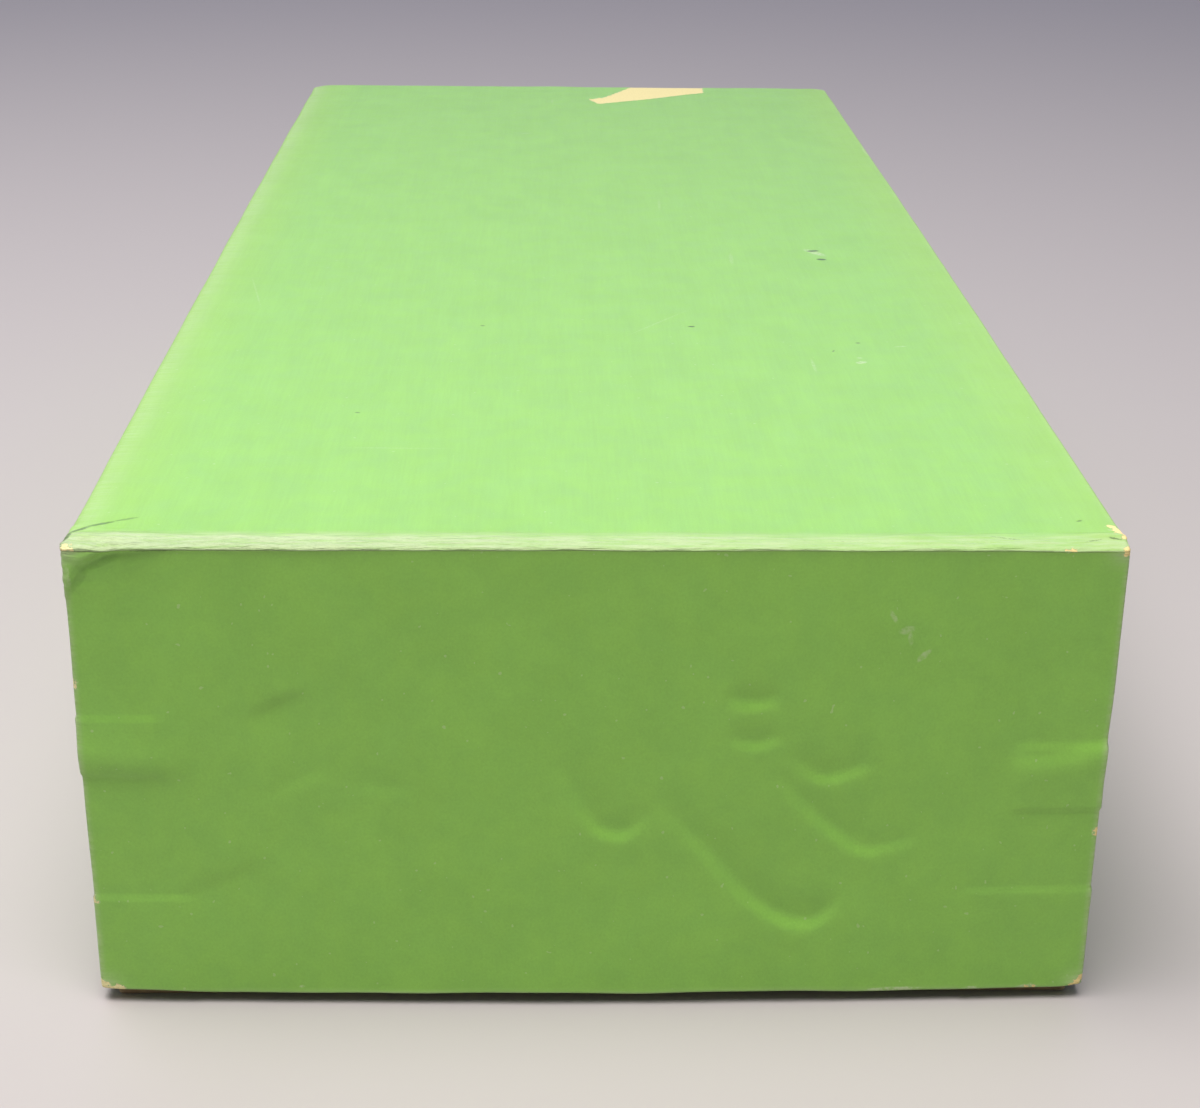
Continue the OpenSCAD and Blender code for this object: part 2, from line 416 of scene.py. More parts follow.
def tape_relief(points, nodes):
    """Where the corner tapes show through the covering paper, from 0 to 1."""
    total = np.zeros(len(points))
    past_paper = np.array([5, 5, 0])  # takes a tape's box outward through the paper over it
    for node in nodes:
        if node.endswith("_tape"):
            low, high = corners(node)
            lower_side = low < 0
            low, high = low - past_paper * lower_side, high + past_paper * ~lower_side
            total = np.maximum(total, inside_box(points, low, high, TAPE_EDGE))
    return total


def tear_distance(points):
    """How far inside the tear a point is, and negative outside it."""
    flat = points[:, :2] + [0, LID_Y]
    ring = np.array(TEAR + TEAR[:1], float)
    nearest = np.full(len(flat), 1e9)
    inside = np.zeros(len(flat), bool)
    for a, b in zip(ring, ring[1:]):
        nearest = np.minimum(nearest, to_segment(flat, a, b))
        crosses = (a[1] > flat[:, 1]) != (b[1] > flat[:, 1])
        with np.errstate(divide="ignore", invalid="ignore"):
            at = a[0] + (flat[:, 1] - a[1]) * (b[0] - a[0]) / (b[1] - a[1])
        inside ^= crosses & (flat[:, 0] < at)
    distance = np.where(inside, nearest, -nearest)
    return np.where(points[:, 2] > TOP - 2.5, distance, FAR_OUTSIDE)


def bare_distance(points):
    """How far inside a chip or the tear a point is, and negative outside them."""
    total = tear_distance(points)
    for start, end, radius in CHIPS:
        total = np.maximum(total, radius - to_segment(points, start, end))
    return np.maximum(total, FAR_OUTSIDE)


def lid_wear_and_band_highlight(points):
    """How rubbed the paper is, from 0 to 1: most on the edges and corners. On the pressed front band
    the paleness is partly wear and partly a painted highlight.
    """
    x, y, z = np.abs(points[:, 0]), points[:, 1], points[:, 2]
    side, end, top, hem = LID_X - x, LID_Y - np.abs(y), TOP - z, z - HEM
    # The distance from each edge and corner, how rubbed it is, and how wide the rubbing is
    edges = [
        (np.hypot(side, end), 0.55, 1.2),
        (np.hypot(side, top), 0.4, 1.6),
        (np.hypot(end, top), 0.45, 1.4),
        (hem + np.minimum(side, end), 0.6, 1.0),
        (np.hypot(np.hypot(side, end), top), 0.9, 5.0),
        (np.hypot(np.hypot(side, end), hem), 0.9, 5.0),
    ]
    total = np.zeros(len(points))
    for distance, strength, width in edges:
        total = np.maximum(total, strength * np.exp(-((distance / width) ** 2)))
    # The pressed front band turns pale: partly rubbed wear, partly a painted highlight on its slope
    pressed = 1 - smooth(CRUSH_WIDTH - 4, CRUSH_WIDTH + 2.5, y + LID_Y)
    rubbed = 1 - smooth(2, LEFT_SOFT_WIDTH + 2, points[:, 0] + LID_X)
    towards_left = 1 - smooth(-150, 120, points[:, 0])
    total = np.maximum(total, (0.6 + 0.4 * towards_left) * pressed * (z > TOP - 1.5))
    return np.maximum(total, 0.3 * rubbed * (z > TOP - 4))


def lid_relief(points, facing):
    """How far the paper alone stands out from its board at each point."""
    x, y, _ = points.T
    tape = tape_relief(points, LID_NODES) * (LID_TAPE_RELIEF + 0.05 * ripple(points, 12, 31))
    waves = 0.12 + 0.1 * ripple(points, 55, 32) + 0.03 * ripple(points, 16, 33)
    pressed = (1 - smooth(CRUSH_WIDTH - 1, CRUSH_WIDTH + 1, y + LID_Y)) * (facing[:, 2] > 0.3)
    ends = 0.35 + 0.65 * smooth(55, 125, np.abs(x + 10))
    creases = CREASE_RELIEF * ends * np.abs(ripple(points, 3.2, 34, (11, 1, 1)))
    crumple = np.exp(-((np.linalg.norm(points - [-LID_X, -LID_Y, TOP], axis=1) / 20) ** 2))
    folds = FOLD_RELIEF * crumple * np.abs(ripple(points, 6, 35, (2, 1, 1)))
    torn = TORN_DEPTH * smooth(-0.6, 0.4, tear_distance(points))
    return tape + np.maximum(waves, 0) + pressed * creases + folds - torn


def make_mesh(name, points, faces, marks):
    """A smooth-shaded object from millimetre points, with an attribute for each of its marks."""
    mesh = bpy.data.meshes.new(name)
    mesh.from_pydata((points * MM).tolist(), [], faces)
    for mark, values in marks.items():
        kind = "FLOAT_VECTOR" if values.ndim == 2 else "FLOAT"
        attribute = mesh.attributes.new(mark, kind, "POINT")
        key = "vector" if values.ndim == 2 else "value"
        attribute.data.foreach_set(key, values.astype(np.float32).ravel())
    mesh.shade_smooth()
    mesh.update()
    piece = bpy.data.objects.new(name, mesh)
    bpy.context.scene.collection.objects.link(piece)
    return piece


def face_outward(piece):
    """Makes every face of a closed piece look outward."""
    shape = bmesh.new()
    shape.from_mesh(piece.data)
    bmesh.ops.recalc_face_normals(shape, faces=shape.faces)
    shape.to_mesh(piece.data)
    shape.free()


def front_x_step(x):
    """Lines across the front: closest over the dents and the crumpled corner."""
    if -18 < x < 98 or x < -132:
        return 1.2
    return 1.7 if x > 118 else 2.4


def back_x_step(x):
    """Lines across the back: closest over the tear and at the corners."""
    return 2 if 5 < x < 88 or abs(x) > 118 else 5


def front_y_step(y):
    """Lines back from the front: closest on the pressed edge."""
    return 0.65 if y < -LID_Y + 12 else 2


def front_z_step(z):
    """Lines up the front: closest under the top edge and over the dents."""
    if z > TOP - 20:
        return 1.0
    return 1.2 if 40 < TOP - z < 130 else 2.3


def lid_outside():
    """The lid's outside, in grids that are closest where the paper is most out of shape.

    Gives the grids, and the lines along the front, the back and both sides.
    """
    x_edges, y_edges, z_edges = (-LID_X, LID_X), (-LID_Y, LID_Y), (HEM, TOP)
    front_end, back_start, low = -LID_Y + 44, LID_Y - 64, HEM + FOLD
    front_xs = lines(*x_edges, x_edges, front_x_step)
    plain_xs = lines(*x_edges, x_edges, lambda x: 7)
    back_xs = lines(*x_edges, x_edges, back_x_step)
    front_ys = lines(-LID_Y, front_end, y_edges, front_y_step)
    plain_ys = lines(front_end, back_start, y_edges, lambda y: 9)
    back_ys = lines(back_start, LID_Y, y_edges, lambda y: 2.2)
    front_zs = lines(low, TOP, z_edges, front_z_step)
    plain_zs = lines(low, TOP, z_edges, lambda z: 7)
    back_zs = lines(low, TOP, z_edges, lambda z: 2.3)
    patches = [
        grid(front_xs, front_ys, lambda x, y: (x, y, TOP)),
        grid(plain_xs, plain_ys, lambda x, y: (x, y, TOP)),
        grid(back_xs, back_ys, lambda x, y: (x, y, TOP)),
        grid(front_xs, front_zs, lambda x, z: (x, -LID_Y, z)),
        grid(back_xs, back_zs, lambda x, z: (x, LID_Y, z)),
    ]
    for x in x_edges:
        for ys, zs in ((front_ys, front_zs), (plain_ys, plain_zs), (back_ys, back_zs)):
            patches.append(grid(ys, zs, lambda y, z: (x, y, z)))
    ys = np.concatenate([front_ys, plain_ys[1:], back_ys[1:]])
    return patches, front_xs, back_xs, ys


def lid_glued_side():
    """The inner face of the lid's covering, glued to the board: close on the dented front only."""
    half_x, half_y, low, high = LID_X - PAPER, LID_Y - PAPER, HEM + PAPER, TOP - PAPER
    close_xs, close_zs = even(-half_x, half_x, CLOSE), even(low, high, CLOSE)
    xs, ys, zs = even(-half_x, half_x, WIDE), even(-half_y, half_y, WIDE), even(low, high, WIDE)
    return [
        grid(close_xs, close_zs, lambda x, z: (x, -half_y, z)),
        grid(xs, zs, lambda x, z: (x, half_y, z)),
        grid(ys, zs, lambda y, z: (-half_x, y, z)),
        grid(ys, zs, lambda y, z: (half_x, y, z)),
        grid(xs, ys, lambda x, y: (x, y, high)),
    ]


def make_lid_cover():
    """The lid's covering paper: top, four sides, and the edge turned in round the hem."""
    outside, front_xs, back_xs, ys = lid_outside()
    # The edge as (inset, height): round the hem, up the inside, and back down against the board
    hem = [(0, HEM + FOLD), (0.1, HEM + 0.35), (0.35, HEM + 0.1), (FOLD, HEM), (WALL / 2, HEM)]
    hem += [(WALL - inset, z) for inset, z in hem[-2::-1]]
    turned_in = [(WALL, z) for z in even(HEM + FOLD, LID_TURN_IN, 3)]
    glued = [(WALL - PAPER, LID_TURN_IN), (WALL - PAPER, HEM + PAPER), (PAPER, HEM + PAPER)]
    edge = rings(front_xs, back_xs, ys, hem + turned_in[1:] + glued)
    flat, faces = join(outside + [edge] + lid_glued_side())
    outer = (np.abs(flat[:, 0]) > LID_X - 1e-3) | (np.abs(flat[:, 1]) > LID_Y - 1e-3)
    outer |= flat[:, 2] > TOP - 1e-3
    points, facing = rounded(flat, lid_radius(flat), LID_X, LID_Y, TOP)
    relief = np.where(outer, lid_relief(flat, facing), 0)
    points = lid_shape(points) + facing * relief[:, None]
    marks = {"flat": flat, "worn": lid_wear_and_band_highlight(flat), "bare": bare_distance(flat)}
    piece = make_mesh("lid_covering", points, faces, marks)
    face_outward(piece)
    return piece


def make_tray_cover():
    """The tray's covering paper: a band turned in over the rim and turned under the floor."""
    xs = lines(-TRAY_X, TRAY_X, (-TRAY_X, TRAY_X), lambda x: 4)
    ys = lines(-TRAY_Y, TRAY_Y, (-TRAY_Y, TRAY_Y), lambda y: 6)
    # The band as (inset, height): out from under the floor, up, over the rim, and back to its start
    foot = [(TRAY_TURN_UNDER, 0), (FOLD, 0), (0.25, 0.2)]
    side = [(0, z) for z in even(FOLD, RIM - FOLD, 3)]
    over = [(0.12, RIM - 0.35), (0.4, RIM - 0.08), (WALL / 2, RIM)]
    over += [(WALL - inset, z) for inset, z in over[-2::-1]]
    inside = [(WALL, z) for z in even(RIM - FOLD, TRAY_TURN_IN, 2)]
    glued = [
        (WALL - PAPER, TRAY_TURN_IN),
        (WALL - PAPER, RIM - PAPER),
        (PAPER, RIM - PAPER),
        (PAPER, PAPER),
        (TRAY_TURN_UNDER, PAPER),
        (TRAY_TURN_UNDER, 0),
    ]
    flat, faces = join([rings(xs, xs, ys, foot + side + over + inside + glued)])
    points, facing = rounded(flat, np.full(len(flat), EDGE_RADIUS), TRAY_X, TRAY_Y, 2 * RIM)
    outer = (np.abs(flat[:, 0]) > TRAY_X - 1e-3) | (np.abs(flat[:, 1]) > TRAY_Y - 1e-3)
    waves = np.maximum(0.1 + 0.1 * ripple(flat, 60, 41), 0)
    relief = TRAY_TAPE_RELIEF * tape_relief(flat, TRAY_NODES) + waves
    points += facing * np.where(outer, relief, 0)[:, None]
    corner = np.hypot(TRAY_X - np.abs(flat[:, 0]), TRAY_Y - np.abs(flat[:, 1]))
    worn = 0.5 * np.exp(-((corner / 1.5) ** 2)) * outer
    worn = np.maximum(worn, 0.35 * smooth(RIM - 1.6, RIM - 0.2, flat[:, 2]))
    worn = np.maximum(worn, 0.15 * (1 - smooth(0.2, 1.5, flat[:, 2])))
    bare = np.maximum(1.3 - np.hypot(corner, RIM - flat[:, 2]), FAR_OUTSIDE)
    piece = make_mesh("tray_covering", points, faces, {"flat": flat, "worn": worn, "bare": bare})
    face_outward(piece)
    return piece


def cutting_steps(node):
    """How far apart one of the lid's CAD nodes is cut along x, y and z."""
    if node.startswith("lid_front"):
        return CLOSE, CLOSE, CLOSE
    if node in ("lid_left_board", "lid_right_board"):
        return WIDE, WIDE, CLOSE
    return WIDE, WIDE, WIDE


def reshaped_copy(node):
    """A copy of one of the lid's CAD nodes, cut up to take the lid's wear."""
    steps = cutting_steps(node)
    shape = bmesh.new()
    shape.from_mesh(frame["nodes"][node].data)
    bmesh.ops.remove_doubles(shape, verts=shape.verts, dist=1e-6)
    low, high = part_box(node)
    for axis in range(3):
        size = high[axis] - low[axis]
        cuts = int(size / (steps[axis] * MM))
        for i in range(1, cuts + 1):
            middle = (Vector(low) + Vector(high)) / 2
            middle[axis] = low[axis] + size * i / (cuts + 1)
            normal = Vector((0, 0, 0))
            normal[axis] = 1
            everything = shape.verts[:] + shape.edges[:] + shape.faces[:]
            bmesh.ops.bisect_plane(shape, geom=everything, plane_co=middle, plane_no=normal, dist=1e-7)
    points = np.array([v.co for v in shape.verts]) / MM
    for vertex, place in zip(shape.verts, lid_shape(points) * MM):
        vertex.co = Vector(place)
    mesh = bpy.data.meshes.new("worn_" + node)
    shape.to_mesh(mesh)
    shape.free()
    piece = bpy.data.objects.new("worn_" + node, mesh)
    bpy.context.scene.collection.objects.link(piece)
    return piece


# ---- Materials ----
class Paint:
    """A material's nodes, made one at a time. Values may be numbers or other nodes' outputs."""

    def __init__(self, name):
        self.material = bpy.data.materials.new(name)
        self.material.use_nodes = True
        self.tree = self.material.node_tree
        self.shader = self.tree.nodes["Principled BSDF"]

    def put(self, socket, value):
        """Sets a socket to a number or colour, or links it to another node's output."""
        if isinstance(value, bpy.types.NodeSocket):
            self.tree.links.new(value, socket)
        else:
            socket.default_value = value

    def node(self, kind, inputs, output=0, **settings):
        """Makes a node of a kind, fills its inputs, and gives one of its outputs."""
        made = self.tree.nodes.new("ShaderNode" + kind)
        for key, value in settings.items():
            setattr(made, key, value)
        for key, value in inputs.items():
            self.put(made.inputs[key], value)
        return made.outputs[output]

    def add(self, *values):
        total = values[0]
        for value in values[1:]:
            total = self.node("Math", {0: total, 1: value}, operation="ADD")
        return total

    def times(self, a, b):
        return self.node("Math", {0: a, 1: b}, operation="MULTIPLY")

    def most(self, a, b):
        return self.node("Math", {0: a, 1: b}, operation="MAXIMUM")

    def shaded(self, colour, amount):
        """A colour made lighter or darker."""
        inputs = {0: colour, "Scale": amount}
        return self.node("VectorMath", inputs, "Vector", operation="SCALE")

    def stretched(self, place, scale):
        """A place scaled along each axis: the smaller the scale, the longer a noise's features."""
        return self.node("VectorMath", {0: place, 1: scale}, operation="MULTIPLY")

    def ramp(self, value, low, high, start=0.0, end=1.0):
        """start at low, end at high, and an even curve between."""
        inputs = {"Value": value, "From Min": low, "From Max": high, "To Min": start, "To Max": end}
        return self.node("MapRange", inputs, interpolation_type="SMOOTHSTEP")

    def noise(self, place, size, detail=3.0, output="Fac"):
        """Noise with features some `size` millimetres across."""
        inputs = {"Vector": place, "Scale": 1 / size, "Detail": detail, "Roughness": 0.55}
        return self.node("TexNoise", inputs, output)

    def blend(self, share, below, above):
        """One colour laid over another by share."""
        made = self.tree.nodes.new("ShaderNodeMixRGB")
        self.put(made.inputs["Fac"], share)
        self.put(made.inputs["Color1"], below)
        self.put(made.inputs["Color2"], above)
        return made.outputs["Color"]

    def axes(self, place):
        """A place's x, y and z."""
        return [self.node("SeparateXYZ", {0: place}, axis) for axis in "XYZ"]

    def millimetres(self):
        """The surface's own place in the row's frame, in millimetres."""
        place = self.node("TexCoord", {}, "Object")
        return self.shaded(place, 1 / MM)

    def stored(self, mark, output="Fac"):
        """One of the marks that make_mesh stored on the mesh's points."""
        return self.node("Attribute", {}, output, attribute_name=mark)

    def mark(self, place, start, end, radius, strength):
        """strength inside a long oval from start to end, fading to 0 at its outline."""
        start, end = Vector(start), Vector(end)
        inputs = {
            "Vector": place,
            "Location": (start + end) / 2,
            "Rotation": (end - start).to_track_quat("X", "Z").to_euler(),
            "Scale": ((end - start).length / 2 + radius, radius, radius),
        }
        inside = self.node("Mapping", inputs, vector_type="TEXTURE")
        distance = self.node("VectorMath", {0: inside}, "Value", operation="LENGTH")
        return self.ramp(distance, 0.5, 1.0, strength, 0.0)

    def marks(self, place, marks):
        """The strongest of several marks."""
        strongest = 0.0
        for start, end, radius, strength in marks:
            strongest = self.most(strongest, self.mark(place, start, end, radius, strength))
        return strongest

    def bump(self, height):
        """Raises the surface by height, in millimetres."""
        inputs = {"Height": height, "Distance": MM, "Strength": 1.0}
        self.put(self.shader.inputs["Normal"], self.node("Bump", inputs))

    def finish(self, colour, roughness, specular):
        """Fills in the surface itself, and gives the material."""
        self.put(self.shader.inputs["Base Color"], colour)
        self.put(self.shader.inputs["Roughness"], roughness)
        self.shader.inputs["Specular IOR Level"].default_value = specular
        return self.material


def tint(colour, scale=(1, 1, 1), plus=(0, 0, 0)):
    """A colour scaled and shifted, with its alpha."""
    return [c * s + p for c, s, p in zip(colour, scale, plus)] + [1]


# Colours, as the red, green and blue light each surface gives back
LID_GREEN = (0.264, 0.553, 0.087)
# The dark marks' colour: painted shade in creases, folds and under the lip, and a few dark spots
SHADE_AND_SPOT_COLOUR = (0.05, 0.10, 0.02)
BARE_FRONT_LEFT = (0.92, 0.83, 0.42)
BARE_FRONT_RIGHT = (0.95, 0.77, 0.33)
BARE_BACK = (0.79, 0.70, 0.34)
TRAY_BROWN = (0.24, 0.165, 0.09)
BARE_TRAY = (0.80, 0.70, 0.40)
PULP_DARK = (0.56, 0.45, 0.22)
PULP_LIGHT = (0.70, 0.58, 0.32)
PULP_FLECK = (0.25, 0.19, 0.10)
KRAFT = (0.46, 0.29, 0.14)
LINING = (0.80, 0.77, 0.68)
BOTTOM_SHEET = (0.60, 0.55, 0.42)
FLOOR_GREY = (0.52, 0.485, 0.475)
SKY = (0.88, 0.93, 0.96)


def on_top(x, into):
    """A place on the lid's top."""
    return (x, into - LID_Y, TOP)


def on_front(x, below):
    """A place on the lid's front end."""
    return (x, -LID_Y, TOP - below)


# Marks on the lid: start, end, radius and strength. Pale ones are rubbed. Dark ones are painted shade
# along creases and folds and under the pressed edge's lip, besides a few dark spots on the top.
PALE_MARKS = [
    (on_top(99, 180), on_top(101, 181), 1.8, 0.9),
    (on_top(99.5, 186), on_top(100.5, 186), 1.0, 0.6),
    (on_top(82, 165), on_top(82, 187), 0.9, 0.35),
    (on_top(115, 200), on_top(120, 201), 0.9, 0.6),
    (on_top(98, 349), on_top(105, 338), 2.6, 0.7),
    (on_top(-90, 84), on_top(-40, 84), 0.7, 0.25),
    (on_top(38, 420), on_top(39, 450), 0.9, 0.25),
    (on_top(64, 320), on_top(65, 345), 1.2, 0.25),
    (on_top(12, 210), on_top(44, 255), 0.8, 0.25),
    (on_top(-138, 305), on_top(-125, 240), 0.6, 0.3),
    (on_top(-30, 600), on_top(-22, 604), 1.2, 0.25),
    (on_top(-11, 690), on_top(-11, 704), 0.9, 0.3),
    (on_top(152, 545), on_top(152, 575), 1.3, 0.6),
    (on_top(-152, 395), on_top(-152, 425), 1.3, 0.6),
    (on_top(-150.5, 3), on_top(-127, 1), 1.5, 0.9),
    (on_top(103, 6.5), on_top(124, 1), 0.8, 0.7),
    (on_front(85.4, 20.5), on_front(87.3, 24), 1.0, 0.5),
    (on_front(89, 27), on_front(91.9, 26), 1.5, 0.5),
    (on_front(91.5, 27), on_front(91.9, 31), 1.0, 0.45),
    (on_front(94.2, 36.4), on_front(97.6, 33), 1.2, 0.6),
    (on_front(-151.5, 4), on_front(-151, 15), 0.9, 0.45),
    (on_front(-91.5, 147), on_front(-90.5, 147), 0.7, 0.8),
    (on_front(82, 148.9), on_front(106, 148.9), 1.2, 1.0),
    (on_front(115, 148.9), on_front(121, 148.9), 1.1, 1.0),
    (on_front(132, 148.9), on_front(140, 148.9), 1.1, 1.0),
]
DARK_MARKS = [
    # Painted shade along the crease of the crumpled front left corner
    (on_top(-153, 2.4), on_top(-151.5, 10), 1.2, 0.7),
    (on_top(-152, 9), on_top(-147, 13.2), 1.1, 0.7),
    (on_top(-148.5, 12.5), on_top(-141, 17.3), 1.0, 0.65),
    (on_top(-142.5, 16.5), on_top(-135, 21), 0.9, 0.45),
    # Painted shade in the creases of the pressed front band
    (on_top(112, 7.5), on_top(126, 5), 0.45, 0.55),
    (on_top(139, 3), on_top(148, 6), 0.45, 0.6),
    (on_top(147, 6.5), on_top(153, 5), 0.5, 0.7),
    (on_top(60, 5), on_top(84, 4), 0.35, 0.3),
    # A few dark spots on the top
    (on_top(40, 227), on_top(41.5, 227), 1.1, 0.9),
    (on_top(-40, 227), on_top(-39, 227), 0.8, 0.7),
    (on_top(-79.5, 120), on_top(-78.5, 120), 0.8, 0.6),
    (on_top(101.5, 205), on_top(102.5, 205), 0.9, 0.7),
    (on_top(99.5, 346), on_top(103, 346.5), 1.7, 0.9),
    (on_top(102.5, 331.5), on_top(104, 331), 1.9, 0.9),
    (on_top(91, 193), on_top(92, 196), 0.6, 0.6),
    (on_top(142.5, 19), on_top(143.5, 19.5), 0.8, 0.6),
    # Painted shadow under the pressed edge's lip, then painted shade along the cracks and the ridge of
    # the crumpled corner
    (on_front(-139, 1.6), on_front(-118, 1.4), 0.6, 0.6),
    (on_front(-150.5, 14), on_front(-146.5, 7.5), 1.6, 0.15),
    (on_front(-146.5, 7.5), on_front(-138, 3), 1.6, 0.15),
]


def ragged_bare(paint, place):
    """How far inside a chip or tear a place is, with a ragged outline."""
    return paint.add(paint.stored("bare"), paint.ramp(paint.noise(place, 1.6), 0.25, 0.75, -0.8, 0.8))


def green_tone(paint, place, green, blotch, grain, fibres):
    """The green paper's own colour: soft blotches and streaks, with the top's long edges faded."""
    streaks = paint.noise(paint.stretched(place, (0.25, 0.012, 0.25)), 1.0, 3.0)
    cooler, warmer = tint(green, (0.97, 0.98, 1.0)), tint(green, (1.03, 1.02, 1.0))
    colour = paint.blend(paint.ramp(blotch, 0.3, 0.7), cooler, warmer)
    across, _, up = paint.axes(place)
    from_middle = paint.node("Math", {0: across}, operation="ABSOLUTE")
    faded = paint.times(paint.ramp(from_middle, LID_X - 32, LID_X - 2), paint.ramp(up, TOP - 3, TOP))
    colour = paint.blend(paint.times(faded, 0.7), colour, tint(green, (1.12, 1.02, 0.85)))
    light = paint.add(
        paint.ramp(streaks, 0.3, 0.7, 0.985, 1.015),
        paint.ramp(paint.noise(place, 22, 5.0), 0.3, 0.7, -0.022, 0.022),
        paint.ramp(grain, 0.25, 0.75, -0.025, 0.025),
        paint.ramp(fibres, 0.25, 0.75, -0.02, 0.02),
    )
    return paint.shaded(colour, light)


def bare_board(paint, place, grain):
    """Clean board under the lid's paper at the front, and greyer board at the back."""
    across, along, _ = paint.axes(place)
    board = paint.blend(paint.ramp(across, -90, 90), tint(BARE_FRONT_LEFT), tint(BARE_FRONT_RIGHT))
    board = paint.blend(paint.ramp(along, 30 - LID_Y, 60 - LID_Y), board, tint(BARE_BACK))
    return paint.shaded(board, paint.ramp(grain, 0.2, 0.8, 0.86, 1.1))


def cover_paper(name, green):
    """Coated green covering paper: grained, rubbed pale on its edges, with a painted highlight in the
    pressed front band's paleness and painted shade in its dark crease and fold marks, and bare board
    where torn.
    """
    paint = Paint(name)
    place = paint.stored("flat", "Vector")
    worn = paint.stored("worn")
    pale = tint(green, (0.45, 0.5, 0.6), (0.39, 0.37, 0.28))
    blotch = paint.noise(place, 9, 3.0)
    grain = paint.noise(place, 0.7, 2.0)
    fibres = paint.noise(paint.stretched(place, (1.2, 0.06, 0.9)), 1.0, 2.0)
    creases = paint.noise(paint.stretched(place, (0.07, 0.8, 0.8)), 1.0, 3.0)
    ragged = paint.stretched(paint.noise(place, 1.1, 2.0, "Color"), (0.6, 0.6, 0.6))
    ragged = paint.node("VectorMath", {0: ragged, 1: place}, operation="ADD")

    rubbed = paint.times(worn, paint.ramp(creases, 0.3, 0.7, 0.6, 1.3))
    speck = paint.ramp(paint.noise(place, 2.2, 1.0), 0.765, 0.785, 0.0, 0.4)
    patchy = paint.ramp(paint.noise(place, 1.4, 2.0), 0.35, 0.6, 0.3, 1.0)
    scuffed = paint.most(paint.times(paint.marks(ragged, PALE_MARKS), patchy), speck)
    shade_and_spots = paint.marks(ragged, DARK_MARKS)
    colour = green_tone(paint, place, green, blotch, grain, fibres)
    # Rubbed edges turn pale; on the pressed front band this paleness is partly a painted highlight
    colour = paint.blend(paint.most(rubbed, scuffed), colour, pale)
    # Dark marks: painted shade along creases, folds and under the lip, and a few dark spots on the top
    colour = paint.blend(shade_and_spots, colour, tint(SHADE_AND_SPOT_COLOUR))

    torn = ragged_bare(paint, place)
    frayed = paint.ramp(torn, -0.6, -0.1, 0.0, 0.5)
    bare = paint.ramp(torn, -0.12, 0.12)
    colour = paint.blend(bare, paint.blend(frayed, colour, pale), bare_board(paint, place, grain))

    roughness = paint.add(paint.ramp(blotch, 0.2, 0.8, 0.36, 0.42), paint.times(worn, 0.1))
    roughness = paint.most(roughness, paint.times(bare, 0.9))
    crumpled = paint.noise(paint.stretched(place, (0.2, 0.9, 0.9)), 1.0, 4.0)
    height = paint.add(
        paint.times(paint.times(worn, worn), paint.times(crumpled, 2.0)),
        paint.times(grain, 0.04),
        paint.times(fibres, 0.03),
        paint.times(shade_and_spots, -0.12),
        paint.times(bare, -0.14),
        paint.times(paint.times(worn, creases), 0.25),
    )
    paint.bump(height)
    return paint.finish(colour, roughness, 0.45)


def tray_paper(name, brown):
    """Plain brown covering paper, rubbed pale along the rim and the foot."""
    paint = Paint(name)
    place = paint.stored("flat", "Vector")
    blotch = paint.noise(place, 25, 4.0)
    fibres = paint.noise(paint.stretched(place, (0.5, 0.5, 1.2)), 1.2, 4.0)
    light = paint.add(
        paint.ramp(blotch, 0.3, 0.7, 0.93, 1.05), paint.ramp(fibres, 0.3, 0.7, -0.08, 0.08)
    )
    worn = paint.times(paint.stored("worn"), paint.ramp(fibres, 0.3, 0.7, 0.5, 1.4))
    colour = paint.blend(worn, paint.shaded(brown, light), tint(brown, (1, 1, 1), (0.25, 0.22, 0.15)))
    colour = paint.blend(paint.ramp(ragged_bare(paint, place), -0.12, 0.12), colour, tint(BARE_TRAY))
    paint.bump(paint.times(fibres, 0.06))
    return paint.finish(colour, 0.75, 0.3)


def plain_paper(name, colour, fibre, roughness=0.85):
    """Uncoated paper: soft cloudy tone, fine fibres, and slow cockles from the glue."""
    paint = Paint(name)
    place = paint.millimetres()
    fibres = paint.noise(paint.stretched(place, (1.0, 0.35, 1.0)), 1.2, 4.0)
    tone = paint.add(
        paint.ramp(paint.noise(place, 40), 0.25, 0.75, 0.93, 1.03),
        paint.ramp(fibres, 0.3, 0.7, -fibre, fibre),
    )
    cockle = paint.times(paint.noise(place, 28, 1.0), 0.8)
    paint.bump(paint.add(cockle, paint.times(fibres, 0.05)))
    return paint.finish(paint.shaded(colour, tone), roughness, 0.3)


def chipboard(name):
    """Grey-yellow pulp board, flecked with fibres."""
    paint = Paint(name)
    place = paint.millimetres()
    pulp = paint.noise(place, 3.0, 5.0)
    fleck = paint.noise(paint.stretched(place, (0.5, 0.2, 0.5)), 1.0, 2.0)
    colour = paint.blend(paint.ramp(pulp, 0.3, 0.7), tint(PULP_DARK), tint(PULP_LIGHT))
    colour = paint.blend(paint.ramp(fleck, 0.66, 0.72, 0, 0.5), colour, tint(PULP_FLECK))
    paint.bump(paint.times(pulp, 0.15))
    return paint.finish(colour, 0.9, 0.25)


# ---- The pieces ----
materials = {
    "lid_cover": cover_paper("worn green paper", LID_GREEN),
    "tray_cover": tray_paper("brown paper", TRAY_BROWN),
    "board": chipboard("chipboard"),
    "tape": plain_paper("kraft tape", KRAFT, 0.08, 0.7),
    "lining": plain_paper("lining paper", LINING, 0.02),
    "bottom_sheet": plain_paper("bottom sheet", BOTTOM_SHEET, 0.05),
}


def dress(piece, node, body):
    """Attaches a piece to its body, hides the CAD node it stands for, and gives it the material of
    that node's slot.
    """
    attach(piece, body)
    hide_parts(node)
    piece.data.materials.clear()
    piece.data.materials.append(materials[SLOTS[node]])


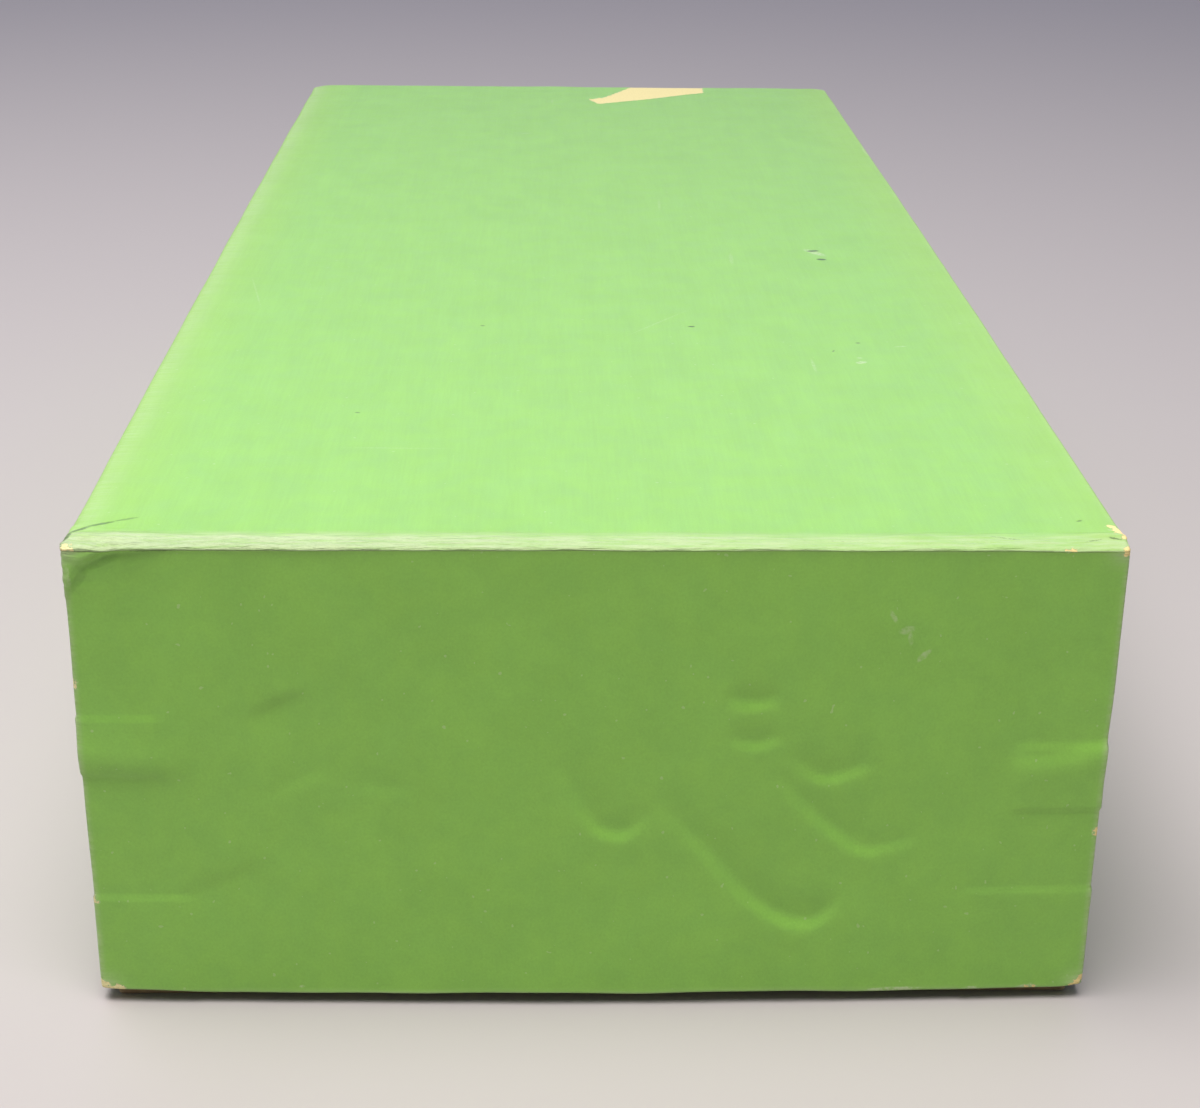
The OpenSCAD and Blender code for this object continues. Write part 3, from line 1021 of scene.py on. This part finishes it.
dress(make_lid_cover(), "lid_cover_paper", "lid")
dress(make_tray_cover(), "tray_cover_paper", "tray")
for node in LID_NODES:
    if node != "lid_cover_paper":
        dress(reshaped_copy(node), node, "lid")
for node in TRAY_NODES:
    shown = frame["nodes"][node]
    shown.data.materials.clear()
    shown.data.materials.append(materials[SLOTS[node]])


# ---- The stage ----
def make_floor():
    """A large pale floor."""
    half = 30.0
    mesh = bpy.data.meshes.new("floor")
    points = [(-half, -half, 0), (half, -half, 0), (half, half, 0), (-half, half, 0)]
    mesh.from_pydata(points, [], [(0, 1, 2, 3)])
    floor = bpy.data.objects.new("floor", mesh)
    bpy.context.scene.collection.objects.link(floor)
    paint = Paint("floor")
    mesh.materials.append(paint.finish(tint(FLOOR_GREY), 0.7, 0.1))


def make_light(name, place, target, size, power, colour):
    """A soft rectangular light that looks at its target."""
    light = bpy.data.lights.new(name, "AREA")
    light.shape = "RECTANGLE"
    light.size, light.size_y = size
    light.energy = power
    light.color = colour
    lamp = bpy.data.objects.new(name, light)
    lamp.location = place
    lamp.rotation_euler = (Vector(target) - Vector(place)).to_track_quat("-Z", "Y").to_euler()
    bpy.context.scene.collection.objects.link(lamp)


def make_camera():
    """The camera looks along the box from in front and above, a little left of its middle."""
    place = Vector((-17.1, -LID_Y - 581.8, HEM + 382.6)) * MM
    down, turn, roll = math.radians(22.04), math.radians(1.66), math.radians(0.73)
    right = Vector((math.cos(turn), -math.sin(turn), 0))
    ahead = Vector((math.sin(turn) * math.cos(down), math.cos(turn) * math.cos(down), -math.sin(down)))
    up = right.cross(ahead)
    tilted_right = right * math.cos(roll) + up * math.sin(roll)
    tilted_up = up * math.cos(roll) - right * math.sin(roll)
    data = bpy.data.cameras.new("camera")
    data.sensor_width = 36
    data.lens = 65.36
    data.clip_start = 0.05
    camera = bpy.data.objects.new("camera", data)
    turned = Matrix((tilted_right, tilted_up, -ahead)).transposed().to_4x4()
    camera.matrix_world = Matrix.Translation(place) @ turned
    bpy.context.scene.collection.objects.link(camera)
    bpy.context.scene.camera = camera


def make_sky():
    """Even pale light from all round."""
    world = bpy.data.worlds.new("sky")
    world.use_nodes = True
    background = world.node_tree.nodes["Background"]
    background.inputs["Color"].default_value = tint(SKY)
    background.inputs["Strength"].default_value = 0.17
    bpy.context.scene.world = world


make_floor()
make_camera()
make_sky()
make_light("overhead", (-0.35, -0.66, 2.1), (-0.2, -0.5, 0), (2.0, 1.2), 65, (1.03, 0.99, 0.98))
make_light("beyond", (-0.1, 1.5, 2.0), (0, -0.3, 0.1), (2.0, 0.6), 3, (1.0, 1.0, 1.0))
make_light("window", (-0.3, 6.0, 3.0), (0, -0.3, 0.15), (10.0, 1.2), 88, (0.84, 0.87, 1.50))
bpy.context.scene.view_settings.view_transform = "Standard"
